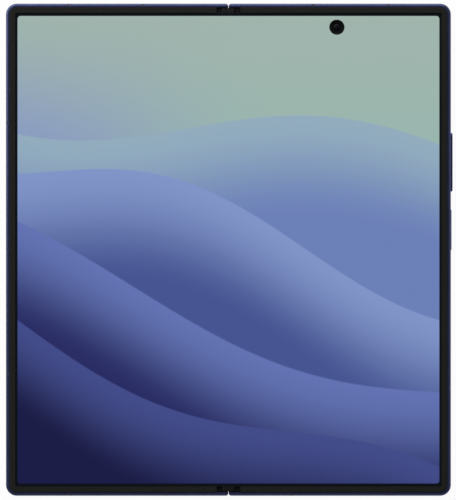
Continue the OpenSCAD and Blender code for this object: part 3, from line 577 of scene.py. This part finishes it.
def circuit_board():
    finish = Finish("circuit_board")
    x, y, _ = finish.place()
    field = finish.noise(size=7.0, detail=0).step(0.48, 0.52)
    along = 1 - off_stripe(x, per_mm=1.4).step(0.10, 0.16)
    across = 1 - off_stripe(y, per_mm=1.4).step(0.10, 0.16)
    tracks = field * along + (1 - field) * across
    finish.set({
        "Base Color": finish.mix(tracks, colour(16, 62, 40), colour(38, 96, 62)),
        "Roughness": 0.32 + 0.1 * tracks,
        "Coat Weight": 0.3 + 0.2 * tracks,
    })
    finish.bump(tracks, 0.03)
    return finish.material

battery_film = battery_wrap()
board_lacquer = circuit_board()

# %% [markdown]
# ## Cable, coil and flash
#
# These three are made of fine lines as well. The flexible cable is an amber film with copper
# tracks that run across the hinge. The charging coil is lacquered wire, wound round its
# middle, one turn every half millimetre, and the height of a round wire is the root of one
# minus the square of the distance from its middle. That height also gives the wire a painted
# highlight along each crown and painted shade between the turns. The flash has a window with
# fine rings that spread its light.

# %% Cable, coil and flash window
def flexible_cable():
    finish = Finish("flexible_cable")
    _, y, _ = finish.place("UV")
    tracks = 1 - off_stripe(y, per_mm=2.5).step(0.16, 0.22)
    finish.set({
        "Base Color": finish.mix(tracks, colour(168, 96, 28), colour(196, 128, 64)),
        "Metallic": 0.5 * tracks,
        "Roughness": 0.35 - 0.08 * tracks,
    })
    finish.bump(tracks, 0.015)
    return finish.material


def wound_coil():
    finish = Finish("wound_coil")
    radius = distance(*from_middle(finish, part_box("charging_coil")))
    off_wire = 2 * off_stripe(radius, per_mm=2)
    wire_height_and_painted_highlight = (1 - off_wire * off_wire).most(0).root()
    finish.set({
        # Lighter along each wire's crown and darker between turns: a painted highlight and
        # painted shade.
        "Base Color": finish.mix(wire_height_and_painted_highlight, colour(96, 44, 20), colour(214, 140, 96)),
        "Metallic": 0.9,
        "Roughness": 0.28 + 0.2 * off_wire,
    })
    finish.bump(wire_height_and_painted_highlight, 0.12)
    return finish.material


def flash_diffuser():
    finish = Finish("flash_diffuser")
    radius = distance(*from_middle(finish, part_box("flash_window")))
    rings_per_mm = 3.2
    rings = (radius * rings_per_mm).cycle()
    amber_to_white = radius.step(0.3, 1.2)
    finish.set({
        "Base Color": finish.mix(amber_to_white, colour(236, 214, 138), colour(232, 230, 220)),
        "Roughness": 0.22 + 0.15 * rings,
        "Subsurface Weight": 0.3,
        "Subsurface Radius": (0.6 * MM, 0.5 * MM, 0.4 * MM),
    })
    finish.bump(rings, 0.08)
    return finish.material

cable_film = flexible_cable()
coil_wire = wound_coil()
flash_cover = flash_diffuser()

# %% [markdown]
# ## Dressing the construction
#
# The record lists one finish for each kind of surface, and which pieces take it is set
# here by their names. Assigning to a material slot leaves the piece's mesh alone.

# %% Give every construction piece its finish
FINISHES = [
    (frame_paint, ["left_frame", "right_frame", "card_tray"]),
    (key_paint, ["volume_key", "power_key"]),
    (hinge_paint, ["hinge_cover"]),
    (island_paint, ["camera_island", "lens_rings"]),
    (soft_black, ["left_bezel", "right_bezel"]),
    (hinge_black_and_painted_shade, ["hinge_end_caps"]),
    (band_plastic, ["left_antenna_bands", "right_antenna_bands"]),
    (folding_screen, ["left_screen_panel", "right_screen_panel"]),
    (cover_glass, ["cover_glass", "cover_display"]),
    (rear_glass, ["rear_glass"]),
    (lens_glass, ["lens_windows"]),
    (flash_cover, ["flash_window"]),
    (hinge_steel, ["rotator_brackets", "gear_brackets", "gear_shafts", "friction_washers",
                   "hinge_screws", "left_screws", "right_screws",
                   "left_rotators", "right_rotators", "left_arms", "right_arms",
                   "left_arm_guides", "right_arm_guides",
                   "left_idler_gears", "right_idler_gears", "left_wing", "right_wing"]),
    (part_steel, ["charging_socket", "haptic_motor", "board_shields", "sub_board_shield",
                  "card_reader", "left_magnets", "right_magnets", "microphones"]),
    (battery_film, ["left_battery", "right_battery"]),
    (board_lacquer, ["main_board", "sub_board"]),
    (coil_wire, ["charging_coil"]),
    (rear_lenses, ["rear_cameras"]),
    (cover_lens, ["cover_camera"]),
    (inner_lens, ["inner_camera"]),
    (module_black, ["top_speaker", "bottom_speaker", "earpiece", "key_switches"]),
]


def dress(piece, material):
    piece.data.materials.clear()
    piece.data.materials.append(material)

for material, names in FINISHES:
    for name in names:
        dress(nodes[name], material)
bare = set(nodes) - {name for _, names in FINISHES for name in names}
print("dressed", len(nodes) - len(bare), "pieces; modelled anew:", sorted(bare))

# %% [markdown]
# ## The strip that bends
#
# Between the two stiff panels the screen is a film that curls up as the phone closes. One
# rigid solid can't do that, so two strips take its place, one for each side of the fold.
# A bend between a half and the hinge needs many cuts across a strip's width. A plain box
# would do for the shape, but not for a bend, so a fine grid is given its thickness by a
# Solidify modifier.
#
# The picture must stay on the film while it bends, so it is tied to a map that holds each
# point's place on the flat phone.

# %% Tools for thin sheets
def keep_flat_place(piece):
    """Writes each point's place across the phone into the piece's map, in metres."""
    points = piece.data.vertices
    layer = piece.data.uv_layers[0]
    for loop in piece.data.loops:
        layer.data[loop.index].uv = points[loop.vertex_index].co.xy


def settle(piece):
    """Applies the piece's place, turn and size, so that its object sits at the origin."""
    bpy.ops.object.select_all(action="DESELECT")
    piece.select_set(True)
    bpy.context.view_layer.objects.active = piece
    bpy.ops.object.transform_apply(location=True, rotation=True, scale=True)


def thicken(sheet, thickness, offset):
    """Gives a sheet its thickness, below its faces where offset is -1 and above where 1."""
    solidify = sheet.modifiers.new("thickness", "SOLIDIFY")
    solidify.thickness = thickness
    solidify.offset = offset
    bpy.ops.object.modifier_apply(modifier=solidify.name)

# %% The film over the fold
strip_low, strip_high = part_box("fold_screen_strip")
film_cuts_x = 28
film_cuts_y = 24


def film_strip(name, low_x, high_x):
    """A strip of the screen between two places across the fold, as a grid with thickness."""
    bpy.ops.mesh.primitive_grid_add(
        x_subdivisions=film_cuts_x, y_subdivisions=film_cuts_y, size=1,
        location=((low_x + high_x) / 2, (strip_low.y + strip_high.y) / 2, strip_high.z))
    strip = bpy.context.object
    strip.name = name
    strip.scale = (high_x - low_x, strip_high.y - strip_low.y, 1)
    settle(strip)
    thicken(strip, strip_high.z - strip_low.z, -1)
    keep_flat_place(strip)
    dress(strip, bending_screen)
    return strip

for side, low_x, high_x in (("left", strip_low.x, 0.0), ("right", 0.0, strip_high.x)):
    film = film_strip("folding_film_" + side, low_x, high_x)
    if side == "left":
        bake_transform(film)
    else:
        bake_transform(film)
    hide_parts("fold_screen_strip")
print("film", round((strip_high.x - strip_low.x) / MM, 2), "mm wide")

# %% [markdown]
# ## The flexible cable
#
# A thin ribbon carries the signals from one half to the other. It lies on the hinge's floor,
# climbs over the edge of the hinge cover and runs into each half, where it must follow the
# half as it turns. Where it climbs, it runs round the fold's axis at a steady distance, so
# that it can turn with the half and touch neither the cover nor the wing plate. So each side
# is a flat piece whose outer edge is spun round that axis and then extruded out into the
# half, with cuts across it that let it bend smoothly.

# %% The ribbon's path
cable_low, cable_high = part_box("hinge_flex_cable")
cable_thickness = 0.12 * MM
cable_turn = 1.96 * MM
bend_end = 3.8 * MM
fold_right = next(joint for joint in frame["joints"] if joint["name"] == "fold_right")
fold_axis = Vector(fold_right["pos_m"])


def climb(height):
    """The turn round the fold's axis, from straight below it, that lifts the ribbon so high."""
    return math.acos((fold_axis.z - height) / cable_turn)

climb_start = climb(cable_low.z)
climb_end = climb(cable_high.z - cable_thickness)
floor_reach = fold_axis.x + cable_turn * math.sin(climb_start)
climb_reach = fold_axis.x + cable_turn * math.sin(climb_end)
print("climbs from", round(floor_reach / MM, 2), "to", round(climb_reach / MM, 2), "mm")

# %% Fold a ribbon for each side
climb_steps = 3
bend_cuts = 9


def pick(piece, wanted):
    """Goes into edit mode with only those points selected for whose place wanted is true."""
    bpy.ops.object.mode_set(mode="EDIT")
    bpy.ops.mesh.select_mode(type="VERT")
    bpy.ops.mesh.select_all(action="DESELECT")
    bpy.ops.object.mode_set(mode="OBJECT")
    for point in piece.data.vertices:
        point.select = wanted(point.co)
    bpy.ops.object.mode_set(mode="EDIT")


def extrude_out(by_x):
    bpy.ops.mesh.extrude_region_move(TRANSFORM_OT_translate={"value": (by_x, 0, 0)})


def ribbon(name, side):
    """The cable from the middle of the hinge out to one side, which is -1 or 1."""
    middle_y = (cable_low.y + cable_high.y) / 2
    bpy.ops.mesh.primitive_plane_add(
        size=1, location=(side * floor_reach / 2, middle_y, cable_low.z))
    cable = bpy.context.object
    cable.name = name
    cable.scale = (floor_reach, cable_high.y - cable_low.y, 1)
    settle(cable)
    pick(cable, lambda place: abs(place.x) > floor_reach / 2)
    bpy.ops.mesh.spin(steps=climb_steps, angle=climb_end - climb_start,
                      center=(side * fold_axis.x, 0, fold_axis.z), axis=(0, side, 0))
    extrude_out(side * (bend_end - climb_reach))
    extrude_out(side * (cable_high.x - bend_end))
    bpy.ops.mesh.select_all(action="SELECT")
    bpy.ops.mesh.subdivide(number_cuts=bend_cuts)
    bpy.ops.mesh.normals_make_consistent(inside=False)
    bpy.ops.object.mode_set(mode="OBJECT")
    facing = 1 if cable.data.polygons[0].normal.z > 0 else -1
    thicken(cable, cable_thickness, facing)
    keep_flat_place(cable)
    dress(cable, cable_film)
    return cable

left_ribbon = ribbon("flex_cable_left", -1)
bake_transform(left_ribbon)
right_ribbon = ribbon("flex_cable_right", 1)
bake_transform(right_ribbon)
for cable in (left_ribbon, right_ribbon):
    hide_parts("hinge_flex_cable")
    low, high = (Vector(corner) for corner in (cable.bound_box[0], cable.bound_box[6]))
    print(cable.name, [round(value / MM, 2) for value in (*low, *high)], "mm")

# %% [markdown]
# ## Speaker meshes
#
# A millimetre inside each speaker slot a steel mesh keeps the dust out. It could be drawn on
# a plate by its finish, but the wires are seen from the side through the slot, so they are
# real. A grid is turned upright, its rows are drawn in to fill the slot's round ends, every
# other crossing is pushed forward as in a weave, and a Wireframe modifier makes each edge a
# wire.

# %% Weave a mesh for a slot
slot_length = 2.96 * MM
slot_height = 0.86 * MM
mesh_depth = 1.0 * MM
mesh_columns = 20
mesh_rows = 6
wire_thickness = 0.05 * MM
weave_depth = 0.02 * MM
mesh_steel = ground_steel(
    "woven_mesh_steel", tone=(0.16, 0.16, 0.17, 1), roughness=0.35, line_scale=(1, 1, 1))


def slot_mesh(name, x, side):
    """A woven mesh in a slot at x, in the bottom edge where side is -1 and the top where 1."""
    edge_z = frame_corner.z / 2
    bpy.ops.mesh.primitive_grid_add(
        x_subdivisions=mesh_columns, y_subdivisions=mesh_rows, size=1,
        location=(x, side * (frame_corner.y - mesh_depth), edge_z), rotation=(math.pi / 2, 0, 0))
    mesh = bpy.context.object
    mesh.name = name
    mesh.scale = (slot_length, slot_height, 1)
    settle(mesh)
    radius = slot_height / 2
    for point in mesh.data.vertices:
        column = round((point.co.x - x) / slot_length * mesh_columns)
        row = round((point.co.z - edge_z) / slot_height * mesh_rows)
        rise = min(abs(point.co.z - edge_z), radius)
        reach = slot_length / 2 - radius + math.sqrt(radius ** 2 - rise ** 2)
        point.co.x = x + (point.co.x - x) * reach / (slot_length / 2)
        point.co.y += weave_depth * (-1) ** (column + row)
    wires = mesh.modifiers.new("wires", "WIREFRAME")
    wires.thickness = wire_thickness
    bpy.ops.object.modifier_apply(modifier=wires.name)
    dress(mesh, mesh_steel)
    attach(mesh, "right_half")
    print(name, "at", round(x / MM, 2), "mm,", len(mesh.data.polygons), "faces")

# %% Put a mesh in each slot
SPEAKERS = [
    # speaker, slots, distance of its first and last slot from its ends, side
    ("bottom_speaker", 3, 2.0 * MM, -1),
    ("top_speaker", 2, 3.0 * MM, 1),
]
for speaker, count, margin, side in SPEAKERS:
    low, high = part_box(speaker)
    first = low.x + margin
    pitch = (high.x - margin - first) / (count - 1)
    for number in range(count):
        slot_mesh(f"{speaker}_mesh_{number + 1}", first + pitch * number, side)

# %% [markdown]
# ## Contacts in the charging socket
#
# The tongue in the socket carries twelve gilded contacts on each face. One is modelled as a
# thin bar with its edges rounded, and an Array modifier repeats it along the tongue.

# %% Lay the contacts on the tongue
contact_count = 12
contact_pitch = 0.5 * MM
contact_size = Vector((0.28, 2.6, 0.03)) * MM
contact_rounding = 0.012 * MM
tongue_half = 0.35 * MM
tongue_tip = 1.4 * MM
tip_margin = 0.3 * MM
gold = ground_steel(
    "gilded_contact", tone=(0.83, 0.60, 0.26, 1), roughness=0.25, line_scale=(1, 0.1, 1))


def contact_row(name, face):
    """The contacts on the tongue's upper face where face is 1, or its lower where it is -1."""
    low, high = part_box("charging_socket")
    middle = (low + high) / 2
    first_x = middle.x - contact_pitch * (contact_count - 1) / 2
    start_y = low.y + tongue_tip + tip_margin + contact_size.y / 2
    bpy.ops.mesh.primitive_cube_add(
        size=1, location=(first_x, start_y, middle.z + face * (tongue_half + contact_size.z / 2)))
    row = bpy.context.object
    row.name = name
    row.scale = contact_size
    settle(row)
    edges = row.modifiers.new("round edges", "BEVEL")
    edges.width = contact_rounding
    edges.segments = 2
    bpy.ops.object.modifier_apply(modifier=edges.name)
    repeat = row.modifiers.new("repeat", "ARRAY")
    repeat.count = contact_count
    repeat.use_relative_offset = False
    repeat.use_constant_offset = True
    repeat.constant_offset_displace = (contact_pitch, 0, 0)
    bpy.ops.object.modifier_apply(modifier=repeat.name)
    dress(row, gold)
    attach(row, "right_half")
    print(name, len(row.data.polygons), "faces")

contact_row("upper_contacts", 1)
contact_row("lower_contacts", -1)

# %% [markdown]
# ## The floor
#
# The floor is a pale sheet under the phone, just below the lowest lens ring. Seen by the
# camera it is nearly white by itself, so that the background is plain, and a share of it
# still takes the phone's shadow. Seen from below it lets the camera through, so that the
# phone's back can be looked at. There it must not hide the light either: a ray that leaves
# the phone and meets the floor after a few millimetres goes on through it, down to the
# lower half of the room.

# %% A pale floor
floor_size = 8
floor_gap = 0.05 * MM
floor_glow = 0.95
open_within = 8 * MM
shut_beyond = 25 * MM


def pale_floor():
    finish = Finish("pale_floor")
    finish.set({"Base Color": (0.92, 0.92, 0.92, 1), "Roughness": 0.8})
    path = finish.tree.nodes.new("ShaderNodeLightPath")
    seen = Value(finish.tree, path.outputs["Is Camera Ray"])
    mirrored = Value(finish.tree, path.outputs["Is Glossy Ray"])
    through = Value(finish.tree, path.outputs["Is Transmission Ray"])
    travelled = Value(finish.tree, path.outputs["Ray Length"])
    paper = Value(finish.tree, finish.surface.outputs[0])
    white = finish.node("ShaderNodeEmission", inputs={"Color": (1, 1, 1, 1), "Strength": 1.0})
    share = floor_glow * seen.most(mirrored).most(through)
    above = finish.node("ShaderNodeMixShader", inputs={0: share, 1: paper, 2: white})
    below = finish.node("ShaderNodeBsdfTransparent")
    behind = finish.node("ShaderNodeNewGeometry", output="Backfacing")
    near = 1 - travelled.step(open_within, shut_beyond)
    open_share = behind.most(near * (1 - seen))
    sheet = finish.node("ShaderNodeMixShader", inputs={0: open_share, 1: above, 2: below})
    finish.tree.links.new(sheet.socket, finish.tree.nodes["Material Output"].inputs["Surface"])
    return finish.material

floor_z = construction_box[0].z - floor_gap
bpy.ops.mesh.primitive_plane_add(size=floor_size, location=(0, 0, floor_z))
floor = bpy.context.object
floor.name = "floor"
dress(floor, pale_floor())
print("floor", round(-floor_z / MM, 2), "mm below the phone's flat back")

# %% [markdown]
# ## The room
#
# The room is white for the camera alone. For all else it is pale at the horizon and dim
# overhead, which the screen would mirror. Its lower half lights the phone's back through the
# floor, bright at the horizon and dim straight below.

# %% Surroundings
horizon_above = 0.30
overhead = 0.10
horizon_below = 0.90
underfoot = 0.15


def between(share, first, second):
    """A number that goes from the first to the second as the share goes from 0 to 1."""
    return first + (second - first) * share


def room():
    world = bpy.data.worlds.new("room")
    bpy.context.scene.world = world
    world.use_nodes = True
    tree = world.node_tree
    tree.nodes.clear()
    direction = tree.nodes.new("ShaderNodeTexCoord")
    parts = tree.nodes.new("ShaderNodeSeparateXYZ")
    tree.links.new(direction.outputs["Generated"], parts.inputs[0])
    height = Value(tree, parts.outputs["Z"])
    sunk = 0 - height
    above = between(height.step(0.15, 0.85), horizon_above, overhead)
    below = between(sunk.step(0.35, 0.85), horizon_below, underfoot)
    level = between(sunk.step(0, 0.02), above, below)
    path = tree.nodes.new("ShaderNodeLightPath")
    seen = Value(tree, path.outputs["Is Camera Ray"])
    background = tree.nodes.new("ShaderNodeBackground")
    background.inputs["Color"].default_value = (1, 1, 1, 1)
    feed(tree, background.inputs["Strength"], between(seen, level, 1))
    output = tree.nodes.new("ShaderNodeOutputWorld")
    tree.links.new(background.outputs[0], output.inputs["Surface"])
    print("room of", len(tree.nodes), "nodes")

room()
bpy.context.scene.view_settings.view_transform = "Standard"
